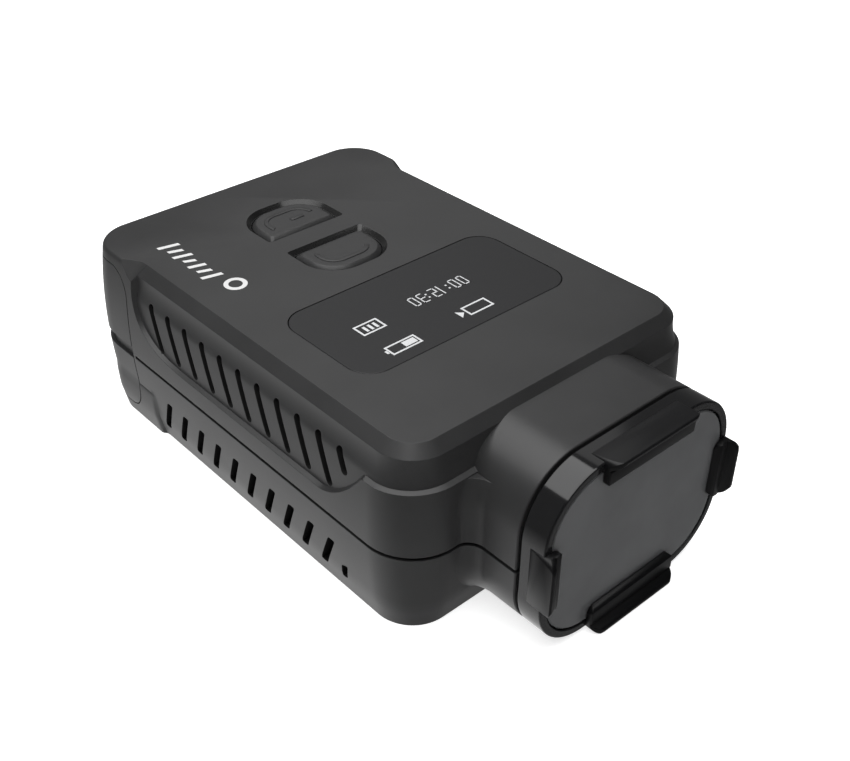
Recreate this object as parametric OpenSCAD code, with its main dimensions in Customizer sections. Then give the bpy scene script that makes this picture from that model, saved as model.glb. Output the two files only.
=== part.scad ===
// Long-body action camera with a square snout, a clip-on lens protector, a rear cover, two D-shaped
// buttons and a small status display. +Z is up and the lens looks along -Y. The origin is the middle
// of the footprint, on the surface that the camera stands on.

/* [Case] */
// Width of the case at the seam between its halves
body_w = 39; // [38:0.1:41]
// Length of the case without the snout, at the seam
body_l = 53.1; // [52:0.1:56]
// Height of the case
body_h = 20.2; // [20:0.1:22]
// Height of the seam above the bottom
seam_z = 9.2; // [9:0.1:9.5]
// Corner radius of the case in plan, at the seam
body_r = 5; // [4:0.1:6]
// Wall thickness of the case
wall = 1.8; // [1.6:0.1:2]
// Width of the flat top face
top_w = 34.4; // [33:0.1:35]
// Chamfer round the top face
top_chamfer = 1.05; // [0.6:0.05:1.4]
// How far the two halves stand apart at the visible seam line
seam_gap = 0.24; // [0.1:0.02:0.4]

/* [Side recess and vents] */
// Depth of the recess below the band, at its lower edge
recess_d = 0.75; // [0.4:0.05:1]
// Height of the recess's lower edge on the sides
ledge_side_z = 11.7; // [11:0.1:12.5]
// Height of the recess's lower edge round the front
ledge_front_z = 16.1; // [15:0.1:17]
// Number of slanted slots on each side
slot_n = 10; // [4:1:10]
// Distance from slot to slot
slot_pitch = 3.08; // [2.8:0.02:3.1]
// Width of a slot
slot_w = 0.8; // [0.4:0.05:1.1]
// Width of a lower vent
vent_w = 0.95; // [0.5:0.05:1.2]

/* [Snout and lens] */
// Width of the snout
snout_w = 24.3; // [23:0.1:25]
// Height of the snout
snout_h = 18.95; // [18:0.05:19.4]
// Corner radius of the snout
snout_r = 6.4; // [5:0.1:7]
// Length of the snout in front of the case
snout_l = 5.65; // [5:0.05:7]
// Height of the lens axis
lens_z = 10.0; // [9.8:0.05:10.2]
// Radius of the lens barrel at its front
lens_r = 6.2; // [5.8:0.1:6.3]

/* [Lens protector] */
// Gap between the snout and the protector
protector_gap = 0.3; // [0.2:0.05:0.4]
// Depth of the protector's frame
protector_d = 2.75; // [2.5:0.05:3]
// Width of the frame's front rim
rim_w = 0.8; // [0.6:0.05:1.2]
// Thickness of the glass plate
glass_t = 0.9; // [0.6:0.05:1.1]
// How far the latch lips stand in front of the rim
lip_d = 1.4; // [0.8:0.05:1.6]
// How far the latch lips stand out beside the frame
lip_out = 0.4; // [0.2:0.05:0.45]
// Length of the top and bottom latches
latch_long = 11.4; // [8:0.1:12]
// Length of the side latches
latch_short = 6.4; // [4:0.1:7]

/* [Controls] */
// Width of each button
button_w = 9.3; // [8:0.1:9.6]
// Depth of each button, front to back
button_d = 6.6; // [6:0.1:6.8]
// Gap round each button
button_gap = 0.25; // [0.2:0.05:0.4]
// Width of the bar between the buttons
button_bar = 3; // [2.6:0.1:3.4]
// How far each button goes down when pressed
button_travel = 0.4; // [0.2:0.05:0.45]
// Width of the display window
display_w = 26.8; // [24:0.1:27.2]
// Length of the display window
display_l = 13.2; // [12:0.1:13.6]

/* [Rear cover] */
// How far the cover reaches forwards along the sides
cover_wrap = 8.6; // [8:0.1:9]
// Thickness of the cover
cover_t = 1.4; // [1.2:0.05:1.5]
// Gap all round the cover
cover_gap = 0.15; // [0.1:0.01:0.2]
// Width of the finger groove across the cover
groove_w = 1.3; // [0.8:0.05:1.6]

/* [Hidden] */
total_l = body_l + snout_l + protector_gap + protector_d + lip_d;
rear_y = total_l / 2;
body_y = rear_y - body_l;                  // front face of the case, at the seam
snout_y = body_y - snout_l;                // front face of the snout
frame_y1 = snout_y - protector_gap;        // back of the protector's frame
frame_y0 = frame_y1 - protector_d;         // front rim of the protector
snout_z0 = body_h - 0.75 - snout_h;        // underside of the snout
snout_mid_z = snout_z0 + snout_h / 2;
top_y = body_y + 2.2;                      // front edge of the flat top face
bottom_w = body_w - 1.8;                   // width of the case's rear block at its bottom
bottom_inset = 0.65;                       // how far the bottom's ends lie inside the seam's
lens_front_y = snout_y - 1.75;             // front of the lens barrel
holder_y0 = snout_y + 3.6;                 // front of the lens holder
holder_y1 = top_y + 3.9;                   // back of the lens holder, where the sensor board lies
cavity_w = 33;                             // width of the space inside the case
cavity_y0 = body_y + 4;
cavity_y1 = rear_y - cover_t - cover_gap - 2 * wall + 0.4;
cavity_r = 2.6;
eps = 0.01;

// swoop of the recess's lower edge, seen from the side
swoop_y0 = top_y + 31;                     // where the level edge starts to rise at the rear
swoop_a = 10.4;                            // how far back the rising curve goes
squareness = 2 / 3;                        // below 1, the rising curve is squarer than an ellipse
front_y0 = top_y + 9.8;                    // where it starts to rise at the front
front_run = 6.8;

// buttons
bar_y = top_y + 34.6;                      // middle of the bar between the buttons
button_top_z = body_h - 0.1;
flange_h = 0.8;
flange_w = 0.5;                            // how far the flange reaches under the case
ceiling_z = body_h - wall;                 // inside of the top wall
button_floor_z = ceiling_z - 0.1 - flange_h;
plunger_r = 0.9;
plunger_h = 1.45;
switch_h = 1.3;
control_z = 14.6;                          // underside of the control board
control_t = 0.8;
switch_z = control_z + control_t;

// display
display_y = top_y + 16.6;                  // middle of the window
display_t = 1;
display_r = 2.6;

// boards and battery
board_w = 23.2;
board_z = 9.7;
board_t = 1;
board_y0 = top_y + 8;
board_y1 = cavity_y1 - 0.3;
battery_size = [22.6, 27, 6.2];
battery_y0 = top_y + 16;

// rear cover
cover_y0 = rear_y - cover_wrap;            // front edge of the cover on the sides
cover_z0 = 1.5;
cover_z1 = body_h - 1.3;
cover_r = 3;
rear_wall_y = rear_y - cover_t - cover_gap;   // outside of the case's wall behind the cover
port_z = board_z + board_t;
usb_x = -6.2;
usb_w = 8.9;
usb_h = 3.2;
card_x = 5.2;
card_w = 11;
card_t = 0.75;
card_l = 15;
seal_t = 0.45;                             // thickness of the rear seal
seal_room = 0.6;                           // depth of the cover's recess for seal and card

// fasteners
screw_x = 14.1;
screw_y = [top_y + 6.6, top_y + 39.4];
screw_r = 0.8;
screw_head_r = 1.5;
boss_r = 2.3;
insert_y = top_y + 10.5;
insert_r = 4.2;
insert_h = 5.6;
thread_r = 2.55;
thread_l = 5;

$fn = 64;

case_black = [0.20, 0.20, 0.21];
gloss_black = [0.07, 0.07, 0.08];
board_green = [0.05, 0.25, 0.15];

// ---------- shared outlines ----------

// Rounded rectangle centred on X, from y0 to y1
module plan_rect(w, y0, y1, r) {
    translate([-w / 2 + r, y0]) square([w - 2 * r, y1 - y0]);
    translate([-w / 2, y0 + r]) square([w, y1 - y0 - 2 * r]);
    for (x = [-w / 2 + r, w / 2 - r], y = [y0 + r, y1 - r]) translate([x, y]) circle(r);
}

module plan_slab(w, y0, y1, r, z0, z1) {
    translate([0, 0, z0]) linear_extrude(z1 - z0) plan_rect(w, y0, y1, r);
}

// Extrudes an outline drawn in X and Z along Y, from y0 to y1
module along_y(y0, y1) {
    translate([0, y1, 0]) rotate([90, 0, 0]) linear_extrude(y1 - y0) children();
}

// Extrudes an outline drawn in Y and Z along X, between -w/2 and w/2
module along_x(w) {
    rotate([90, 0, 90]) translate([0, 0, -w / 2]) linear_extrude(w) children();
}

module front_rect(w, h, r) {
    translate([0, snout_mid_z - h / 2]) plan_rect(w, 0, h, r);
}

// ---------- case shape ----------

// Thin slice of the case at height z, as wide as w, with corner radius r
module level(z, w, front, back, r) {
    translate([0, 0, z]) linear_extrude(eps, $fn = 40) plan_rect(w, front, back, r);
}

// The barrel-sided case above the seam, before the recess is cut, pulled in by t all round
module upper_hull(t = 0) {
    w = body_w - 2 * t;
    hull() {
        level(seam_z, w, body_y + t, rear_y - t, body_r - t / 2);
        level(seam_z + 3.2, w - 0.2, body_y + t + 0.1, rear_y - t - 0.05, body_r - t / 2);
        level(seam_z + 7, w - 1, body_y + t + 0.35, rear_y - t - 0.35, body_r - t / 2 - 0.3);
        level(body_h - eps, w - 2.2, body_y + t + 0.9, rear_y - t - 0.9, body_r - t / 2 - 0.8);
    }
}

// The same below the seam
module lower_hull(t = 0) {
    w = body_w - 2 * t;
    hull() {
        level(seam_z - eps, w, body_y + t, rear_y - t, body_r - t / 2);
        level(seam_z - 4, w - 0.6, body_y + t + 0.15, rear_y - t - 0.3, body_r - t / 2 - 0.2);
        level(2.6, w - 1.2, body_y + t + 0.35, rear_y - t - 0.7, body_r - t / 2 - 0.4);
        level(0, bottom_w - 2 * t, body_y + t + bottom_inset, rear_y - t - 1.6, body_r - t / 2 - 0.9);
    }
}

// The narrower core that the recess leaves, with the chamfer round the top face
module recess_core() {
    w0 = top_w + 2 * top_chamfer;
    hull() {
        level(body_h - eps, top_w, top_y, rear_y - 0.9, 2.9);
        level(body_h - top_chamfer, w0, top_y - top_chamfer, rear_y - 0.2, 2.9 + top_chamfer);
        level(ledge_side_z - 1, body_w - 2 * recess_d, top_y - top_chamfer - 0.6, rear_y, 4.6);
    }
}

// Heights of the recess's lower edge along Y, as a closed outline that keeps what lies below
function rise(t) = t * t * (3 - 2 * t);
function swoop_points(n) = concat(
    [[body_y - 4, 0], [body_y - 4, ledge_front_z], [front_y0 - front_run, ledge_front_z]],
    [for (i = [0:n]) let (t = i / n)
        [front_y0 - front_run + t * front_run,
         ledge_side_z + (ledge_front_z - ledge_side_z) * rise(1 - t)]],
    [for (i = [0:n]) let (a = 90 * i / n)
        [swoop_y0 + swoop_a * pow(sin(a), squareness),
         body_h - (body_h - ledge_side_z) * pow(cos(a), squareness)]],
    [[swoop_y0 + swoop_a, body_h + 1], [rear_y + 4, body_h + 1], [rear_y + 4, 0]]);

module upper_outside() {
    intersection() {
        upper_hull();
        union() {
            recess_core();
            along_x(body_w + 4) polygon(swoop_points(14));
        }
    }
}

module snout_outside(z0, z1) {
    intersection() {
        along_y(snout_y, body_y + 3.6) front_rect(snout_w, snout_h, snout_r);
        translate([-snout_w, snout_y - 1, z0]) cube([2 * snout_w, 20, z1 - z0]);
    }
}

// Way through the snout and the front wall for the lens and its holder
module snout_bore() {
    along_y(snout_y - 1, cavity_y0 + 1) front_rect(snout_w - 3.4, snout_h - 3.4, snout_r - 1.7);
}

// Pocket that the rear cover lies in, with clearance g
module cover_outline(g) {
    translate([cover_y0 - g, cover_z0 - g]) {
        translate([cover_r, 0]) square([cover_wrap + 6, cover_z1 - cover_z0 + 2 * g]);
        translate([0, cover_r]) square([cover_wrap + 6, cover_z1 - cover_z0 + 2 * g - 2 * cover_r]);
        for (z = [cover_r, cover_z1 - cover_z0 + 2 * g - cover_r]) translate([cover_r, z]) circle(cover_r);
    }
}

// Core inside the rear cover, pulled in by t from the outside at the seam
module cover_core(t) {
    plan_slab(body_w - 2 * t - 1.2, cover_y0 - 4, rear_y - t, body_r - t, 0, body_h);
}

module vent_slots() {
    for (i = [0:slot_n - 1]) {
        y = top_y + 38.2 - i * slot_pitch;
        along_x(body_w + 4) slanted_slot([y, body_h - 3.4], [y - 1.85, body_h - 7.7]);
    }
    if (slot_n == 10)
        along_x(body_w + 4) slanted_slot([top_y + 7.4, body_h - 3.4], [top_y + 6.6, body_h - 5.2]);
}

module slanted_slot(p, q) {
    d = (q - p) / norm(q - p);
    n = [-d[1], d[0]] * slot_w / 2;
    polygon([p + n, q + n, q - n, p - n]);
    translate(p) circle(slot_w / 2, $fn = 24);
    translate(q) circle(slot_w / 2, $fn = 24);
}

module lower_vents() {
    for (i = [0:slot_n - 1]) {
        y = top_y + 35.4 - i * slot_pitch;
        along_x(body_w + 4)
            polygon([[y, body_h - 14.1], [y + vent_w, body_h - 14.1],
                     [y + vent_w + 1.8, 1.9], [y + 1.8, 1.9]]);
    }
    if (slot_n == 10)
        along_x(body_w + 4)
            polygon([[top_y + 6.4, 4.2], [top_y + 7.4, 3.5], [top_y + 7.5, 1.9], [top_y + 6.5, 2.4]]);
}

module side_only(x0) {
    difference() {
        children();
        translate([-x0, body_y - 10, -1]) cube([2 * x0, body_l + 20, body_h + 2]);
    }
}

module at_screws() {
    for (x = [-screw_x, screw_x], y = screw_y) translate([x, y, 0]) children();
}

// Groove that sets the seam back, as a ring outside the case between z0 and z1
module seam_ring(z0, z1) {
    translate([0, 0, z0]) linear_extrude(z1 - z0) difference() {
        translate([-30, -40]) square([60, 80]);
        plan_rect(body_w - 0.6, body_y + 0.3, rear_y + 5, body_r);
        translate([-snout_w / 2 + 0.3, snout_y - 2]) square([snout_w - 0.6, 10]);
    }
}

// ---------- case halves ----------

module top_housing() color(case_black) difference() {
    union() {
        difference() {
            union() {
                upper_outside();
                snout_outside(seam_z, body_h);
            }
            plan_slab(cavity_w, cavity_y0, cavity_y1, cavity_r, seam_z - 1, ceiling_z);
            snout_bore();
        }
        intersection() {
            at_screws() translate([0, 0, seam_z]) cylinder(h = ceiling_z - seam_z + 0.2, r = boss_r);
            upper_hull(1);
        }
    }
    at_screws() translate([0, 0, seam_z - 1]) cylinder(h = 5, r = screw_r);
    side_only(cavity_w / 2 - 0.5) vent_slots();
    difference() {
        along_x(body_w + 4) cover_outline(cover_gap);
        cover_core(cover_t + cover_gap);
    }
    seam_ring(seam_z - 1, seam_z + seam_gap / 2);
    translate([0, display_y, body_h - display_t]) display_prism(0.05, display_t + 1);
    translate([0, display_y, body_h - 2 * wall])
        linear_extrude(4) centred_rect(display_w - 5, display_l - 4, 1);
    for (s = [-1, 1]) button_place(s) translate([0, 0, ceiling_z - 1]) linear_extrude(wall + 2)
        button_outline(button_gap);
    rear_port_cuts();
}

module bottom_housing() color(case_black) difference() {
    union() {
        difference() {
            union() {
                intersection() {
                    lower_hull();
                    translate([-40, -60, 0]) cube([80, 120, seam_z]);
                }
                snout_outside(0, seam_z);
            }
            plan_slab(cavity_w, cavity_y0, cavity_y1, cavity_r, wall, seam_z + 1);
            snout_bore();
        }
        intersection() {
            at_screws() cylinder(h = seam_z, r = boss_r + 0.3);
            lower_hull(1);
        }
        translate([0, insert_y, 0.5]) cylinder(h = insert_h + 0.6, r = insert_r + 1.2);
    }
    at_screws() translate([0, 0, -1]) cylinder(h = seam_z + 2, r = screw_r + 0.15);
    at_screws() translate([0, 0, -1]) cylinder(h = 2.6, r = screw_head_r + 0.15);
    translate([0, insert_y, -1]) cylinder(h = insert_h + 1, r = insert_r);
    side_only(cavity_w / 2 - 0.5) lower_vents();
    difference() {
        along_x(body_w + 4) cover_outline(cover_gap);
        cover_core(cover_t + cover_gap);
    }
    seam_ring(seam_z - seam_gap / 2, seam_z + 1);
    lower_side_panel();
}

// Shallow sloped panel low on each side, which ends at the step near the rear
module lower_side_panel() {
    for (s = [0, 1]) mirror([s, 0, 0])
        along_y(body_y - 3, top_y + 39.3)
            polygon([[bottom_w / 2 + 0.62, 5.5], [bottom_w / 2 + 4, 5.5],
                     [bottom_w / 2 + 4, -1], [bottom_w / 2 - 0.7, -1]]);
}

module rear_port_cuts() {
    translate([usb_x - usb_w / 2 - 0.1, cavity_y1 - 1, port_z - 0.1])
        cube([usb_w + 0.2, 10, usb_h + 0.2]);
    translate([card_x - card_w / 2 - 0.2, cavity_y1 - 1, port_z + 0.25])
        cube([card_w + 0.4, 10, card_t + 0.4]);
}

module case_screws() color("dimgray") at_screws() {
    translate([0, 0, 0.3]) difference() {
        cylinder(h = 1.2, r = screw_head_r);
        translate([0, 0, -0.1]) cylinder(h = 0.7, r = 0.7, $fn = 6);
    }
    translate([0, 0, 1.4]) cylinder(h = seam_z + 1.6, r = screw_r - 0.02);
}

module tripod_insert() color("goldenrod") translate([0, insert_y, 0]) difference() {
    cylinder(h = insert_h, r = insert_r);
    translate([0, 0, -0.1]) cylinder(h = thread_l + 0.1, r = thread_r);
}

// ---------- rear ----------

module rear_cover() color(case_black) difference() {
    intersection() {
        union() {
            upper_hull();
            intersection() {
                lower_hull();
                translate([-40, -60, 0]) cube([80, 120, seam_z]);
            }
        }
        along_x(body_w + 4) cover_outline(0);
    }
    cover_core(cover_t);
    cover_groove();
    translate([0, rear_y - cover_t, 0]) along_y(-1, seal_room) port_frame(27, 6.4);
}

// Shallow finger groove across the back and both ends of the cover, in line with the seam
module cover_groove() {
    difference() {
        translate([-40, cover_y0 - 5, seam_z + 1.1 - groove_w]) cube([80, 40, groove_w]);
        plan_slab(body_w - 1, cover_y0 - 8, rear_y - 0.5, body_r, 0, body_h);
    }
}

module rear_seal() color("black") difference() {
    translate([0, rear_wall_y, 0]) along_y(0, seal_t) port_frame(26, 5.6);
    translate([0, rear_wall_y, 0]) along_y(-1, 1) port_frame(24, 4.4);
}

module port_frame(w, h) {
    translate([0, port_z + 1.5]) square([w, h], center = true);
}

module usb_port() color("silver") translate([usb_x, 0, port_z + usb_h / 2]) difference() {
    along_y(rear_wall_y - 7.4, rear_wall_y - 0.2) obround(usb_w - 0.1, usb_h - 0.1);
    along_y(rear_wall_y - 6.4, rear_wall_y) obround(usb_w - 0.7, usb_h - 0.7);
}

module obround(w, h) {
    square([w - h, h], center = true);
    for (x = [-w / 2 + h / 2, w / 2 - h / 2]) translate([x, 0]) circle(h / 2);
}

module card_socket() color("silver") difference() {
    translate([card_x - card_w / 2 - 0.6, rear_wall_y - 16.4, port_z])
        cube([card_w + 1.2, 13.1, 1.5]);
    translate([card_x - card_w / 2 - 0.15, rear_wall_y - 15.9, port_z + 0.3])
        cube([card_w + 0.3, 20, card_t + 0.2]);
}

module memory_card() color("black")
    translate([card_x - card_w / 2, rear_wall_y - card_l - 0.3, port_z + 0.4]) {
        cube([card_w - 1.4, card_l, card_t]);
        translate([0, 5, 0]) cube([card_w, card_l - 5, card_t]);
    }

// ---------- display and buttons ----------

module centred_rect(w, l, r) {
    translate([0, -l / 2]) plan_rect(w, 0, l, r);
}

module display_prism(g, h) {
    linear_extrude(h) centred_rect(display_w + 2 * g, display_l + 2 * g, display_r + g);
}

module display_window() color([0.12, 0.12, 0.13])
    translate([0, display_y, body_h - display_t]) display_prism(0, display_t);

module oled_display() color([0.02, 0.02, 0.05])
    translate([0, display_y, body_h - display_t - 1.15]) linear_extrude(1.1)
        centred_rect(display_w - 5.4, display_l - 4.4, 0.8);

// D outline with its straight side at Y = 0 and wide corners away from it, grown by g all round
module button_outline(g) {
    r = 3.7 + g;
    x = button_w / 2 + g;
    intersection() {
        union() {
            translate([-x, -g]) square([2 * x, button_d - 3.7 + g]);
            translate([-x + r, -g]) square([2 * x - 2 * r, button_d + 2 * g]);
            for (s = [-1, 1]) translate([s * (x - r), button_d - 3.7]) circle(r);
        }
        translate([-x, -g]) square([2 * x, button_d + 2 * g]);
    }
}

module button_place(s) {
    translate([0, bar_y + s * (button_bar / 2 + button_gap), 0])
        rotate([0, 0, s > 0 ? 0 : 180]) children();
}

// Cap, with a flange that holds it under the top wall and a post over its switch
module button_cap(s) button_place(s) {
    translate([0, 0, ceiling_z - 0.15])
        linear_extrude(button_top_z - ceiling_z + 0.15) button_outline(0);
    translate([0, 0, button_floor_z]) linear_extrude(flange_h) button_outline(flange_w);
}

module button_plunger(s) button_place(s)
    translate([0, button_d / 2, button_floor_z - plunger_h]) cylinder(h = plunger_h, r = plunger_r);

module button_switch(s) button_place(s) translate([0, button_d / 2, 0]) difference() {
    translate([-2.1, -1.6, switch_z]) cube([4.2, 3.2, switch_h]);
    translate([0, 0, button_floor_z - plunger_h - button_travel - 0.05])
        cylinder(h = 3, r = plunger_r + 0.05);
}

module mode_button() color(case_black) button_cap(1);
module shutter_button() color(case_black) button_cap(-1);
module mode_plunger() color("white") button_plunger(1);
module shutter_plunger() color("white") button_plunger(-1);
module mode_switch() color("silver") button_switch(1);
module shutter_switch() color("silver") button_switch(-1);

// ---------- inside ----------

module control_board() color(board_green)
    translate([-board_w / 2, top_y + 24.5, control_z]) cube([board_w, 19.5, control_t]);

module main_board() color(board_green)
    translate([-board_w / 2, board_y0, board_z]) cube([board_w, board_y1 - board_y0, board_t]);

module processor() color([0.1, 0.1, 0.1])
    translate([-6, board_y0 + 4, board_z + board_t]) cube([12, 12, 1.1]);

module heat_spreader() color([0.75, 0.76, 0.78])
    translate([-9, board_y0 + 1.5, board_z + board_t + 1.1]) {
        cube([18, 17, 0.8]);
        for (i = [0:4]) translate([1.5 + i * 3.5, 0.5, 0.8]) cube([1, 16, 1.2]);
    }

module battery() color([0.25, 0.45, 0.75])
    translate([0, 0, wall + 0.7]) linear_extrude(battery_size[2])
        plan_rect(battery_size[0], battery_y0, battery_y0 + battery_size[1], 2);

module battery_pad() color([0.15, 0.15, 0.15])
    translate([0, 0, wall]) linear_extrude(0.65) plan_rect(18, battery_y0 + 2, battery_y0 + 25, 1);

module microphone() color("gold")
    translate([6.5, board_y0 + 19.8, board_z + board_t]) cube([3.8, 3, 1.1]);

module speaker() color([0.2, 0.2, 0.2])
    translate([-6, board_y0 + 25, board_z + board_t]) difference() {
        cylinder(h = 2, r = 4.5);
        translate([0, 0, 1.2]) cylinder(h = 2, r = 1);
    }

module wifi_antenna() color("goldenrod")
    translate([-10, top_y + 3.8, ceiling_z - 0.3]) cube([20, 4, 0.29]);

// ---------- lens ----------

module lens_tube(r, y0, y1) {
    translate([0, y1, lens_z]) rotate([90, 0, 0]) cylinder(h = y1 - y0, r = r);
}

module front_bezel() color(case_black) difference() {
    union() {
        along_y(snout_y + 0.3, snout_y + 2.3)
            front_rect(snout_w - 3.5, snout_h - 3.5, snout_r - 1.75);
        along_y(snout_y - protector_gap - 1, snout_y + 0.4)
            front_rect(snout_w - 5.2, snout_h - 5.2, snout_r - 2.6);
    }
    lens_tube(lens_r + 0.15, snout_y - 5, snout_y + 5);
}

module lens_barrel() color(gloss_black) difference() {
    union() {
        lens_tube(lens_r, lens_front_y, snout_y + 0.8);
        lens_tube(5.6, snout_y + 0.7, holder_y1 - 0.6);
    }
    translate([0, lens_front_y + 0.7, lens_z]) rotate([90, 0, 0])
        cylinder(h = 1, r1 = 4.6, r2 = 6.4);
    lens_tube(4.6, lens_front_y + 0.6, lens_front_y + 1.6);
}

module lens_front_element() color([0.15, 0.2, 0.3])
    translate([0, lens_front_y + 1.6, lens_z]) rotate([90, 0, 0])
        intersection() {
            cylinder(h = 2, r = 4.55);
            translate([0, 0, -6.7]) sphere(8, $fn = 96);
        }

module lens_lock_ring() color("silver") difference() {
    lens_tube(6.6, snout_y + 2.4, snout_y + 3.5);
    lens_tube(5.65, snout_y, snout_y + 5);
}

module lens_holder() color([0.13, 0.13, 0.14]) difference() {
    union() {
        lens_tube(7, holder_y0, holder_y1 - 1.6);
        translate([-8, holder_y1 - 1.7, lens_z - 6.4]) cube([16, 1.7, 12.8]);
    }
    lens_tube(5.65, holder_y0 - 1, holder_y1 - 0.5);
    translate([-4, holder_y1 - 2, lens_z - 3.2]) cube([8, 4, 6.4]);
}

module image_sensor() color([0.1, 0.12, 0.3])
    translate([-3.8, holder_y1 - 0.42, lens_z - 3]) cube([7.6, 0.4, 6]);

module sensor_board() color(board_green)
    translate([-8, holder_y1, lens_z - 6.4]) cube([16, 0.9, 12.8]);

// ---------- lens protector ----------

module protector_frame() color(gloss_black) difference() {
    along_y(frame_y0, frame_y1) front_rect(snout_w, snout_h, snout_r);
    along_y(frame_y0 - 1, frame_y0 + glass_t)
        front_rect(snout_w - 2 * rim_w, snout_h - 2 * rim_w, snout_r - rim_w);
    along_y(frame_y0, frame_y1 + 1)
        front_rect(snout_w - 4.4, snout_h - 4.4, snout_r - 2.2);
    latch_set();
}

module protector_glass() color([0.25, 0.25, 0.27])
    along_y(frame_y0, frame_y0 + glass_t - 0.02)
        front_rect(snout_w - 2 * rim_w - 0.06, snout_h - 2 * rim_w - 0.06, snout_r - rim_w - 0.03);

module protector_seal() color([0.05, 0.05, 0.05]) difference() {
    along_y(frame_y0 + glass_t, frame_y0 + glass_t + 0.5)
        front_rect(snout_w - 4.44, snout_h - 4.44, snout_r - 2.22);
    along_y(frame_y0, frame_y1) front_rect(snout_w - 6, snout_h - 6, snout_r - 3);
}

// Cross-section of one latch at the frame's outer edge: X is outwards, Y is forwards from the rim.
// A raised pad lies on the rim and the glass, and a lip beyond a nail groove stands out past it.
module latch_section(pad) {
    polygon([[-pad, 0.02], [-pad + 0.35, 0.65], [-0.5, 0.65], [-0.1, 0.25], [lip_out - 0.15, lip_d],
             [lip_out, lip_d - 0.1], [lip_out, -0.4], [0, -0.8], [0, -1.5], [-rim_w + 0.1, -1.5],
             [-rim_w + 0.1, 0.02]]);
}

// One latch: its section swept along the side, with round ends seen from the front
module latch(len, pad) {
    r = (pad + lip_out) / 2;
    intersection() {
        rotate([90, 0, 90]) translate([0, 0, -len / 2]) linear_extrude(len)
            rotate(90) latch_section(pad);
        translate([0, 4, 0]) rotate([90, 0, 0]) linear_extrude(8) {
            translate([0, lip_out - r]) square([len - 2 * r, 2 * r], center = true);
            for (s = [-1, 1]) translate([s * (len / 2 - r), lip_out - r]) circle(r);
        }
    }
}

module latch_set() {
    for (a = [0, 180]) translate([0, frame_y0, snout_mid_z]) rotate([0, a, 0])
        translate([0, 0, snout_h / 2]) latch(latch_long, 2.5);
    for (a = [90, 270]) translate([0, frame_y0, snout_mid_z]) rotate([0, a, 0])
        translate([0, 0, snout_w / 2]) latch(latch_short, 1.8);
}

module protector_latches() color(gloss_black) latch_set();

top_housing();
bottom_housing();
front_bezel();
display_window();
oled_display();
mode_button();
shutter_button();
mode_plunger();
shutter_plunger();
mode_switch();
shutter_switch();
control_board();
main_board();
processor();
heat_spreader();
battery();
battery_pad();
lens_holder();
lens_barrel();
lens_lock_ring();
lens_front_element();
image_sensor();
sensor_board();
protector_frame();
protector_glass();
protector_latches();
protector_seal();
rear_cover();
rear_seal();
usb_port();
card_socket();
memory_card();
microphone();
speaker();
wifi_antenna();
tripod_insert();
case_screws();
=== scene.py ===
# Looks of a long-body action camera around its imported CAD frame. Lengths are in millimetres until a
# piece is finished, and metres after that. +Z is up, the lens looks along -Y.
import math

import bmesh
import bpy
import numpy as np
from mathutils import Matrix, Vector


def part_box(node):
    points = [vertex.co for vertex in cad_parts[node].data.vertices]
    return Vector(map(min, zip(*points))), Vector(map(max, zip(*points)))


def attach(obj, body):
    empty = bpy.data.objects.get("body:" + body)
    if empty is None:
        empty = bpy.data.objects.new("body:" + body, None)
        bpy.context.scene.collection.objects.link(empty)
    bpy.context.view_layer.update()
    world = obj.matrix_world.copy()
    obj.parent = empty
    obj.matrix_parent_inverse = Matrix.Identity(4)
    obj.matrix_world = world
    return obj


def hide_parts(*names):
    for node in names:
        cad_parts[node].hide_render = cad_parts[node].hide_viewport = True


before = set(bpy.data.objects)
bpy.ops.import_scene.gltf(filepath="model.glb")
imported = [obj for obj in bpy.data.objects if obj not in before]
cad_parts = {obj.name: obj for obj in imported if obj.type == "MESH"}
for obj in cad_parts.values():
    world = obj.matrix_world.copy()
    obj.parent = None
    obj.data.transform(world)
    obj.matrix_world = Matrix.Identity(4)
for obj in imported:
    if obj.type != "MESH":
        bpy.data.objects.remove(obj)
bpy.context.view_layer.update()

MM = 0.001
scene = bpy.context.scene


def node_box(name):
    lo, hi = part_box(name)
    return np.array(lo) / MM, np.array(hi) / MM


TOP_LO, TOP_HI = node_box("top_housing")
HEIGHT = TOP_HI[2]
SEAM = TOP_LO[2]
REAR = node_box("rear_cover")[1][1]
SNOUT_FRONT = TOP_LO[1]
HALF_W = TOP_HI[0]
FACE_LO, FACE_HI = node_box("protector_frame")
RING_FRONT, RING_BACK = FACE_LO[1], FACE_HI[1]
SNOUT_HALF_W = FACE_HI[0]
SNOUT_HALF_H = (FACE_HI[2] - FACE_LO[2]) / 2
SNOUT_MID = (FACE_HI[2] + FACE_LO[2]) / 2
SNOUT_R = 6.4
SNOUT_WALL = 1.7
FILLET = 1.7                      # radius of the hollow between the snout and the front wall
BAND_FRONT = REAR - 53.2          # front wall of the case below the ledge
TOP_FRONT = REAR - 50.9           # front edge of the flat top face
CAVITY_HALF = 16.5
CEILING = HEIGHT - 1.8
FAR = 30                          # clear of the case on either side
MERGE = 1e-4                      # points closer than this become one


# ---------- mesh tools ----------

def mesh_object(name, verts, faces):
    mesh = bpy.data.meshes.new(name)
    mesh.from_pydata([tuple(map(float, v)) for v in verts], [], faces)
    obj = bpy.data.objects.new(name, mesh)
    scene.collection.objects.link(obj)
    return obj


def clean(obj):
    bm = bmesh.new()
    bm.from_mesh(obj.data)
    bmesh.ops.remove_doubles(bm, verts=bm.verts, dist=MERGE)
    bmesh.ops.dissolve_degenerate(bm, edges=bm.edges, dist=MERGE)
    bmesh.ops.recalc_face_normals(bm, faces=bm.faces)
    bm.to_mesh(obj.data)
    bm.free()
    return obj


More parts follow.
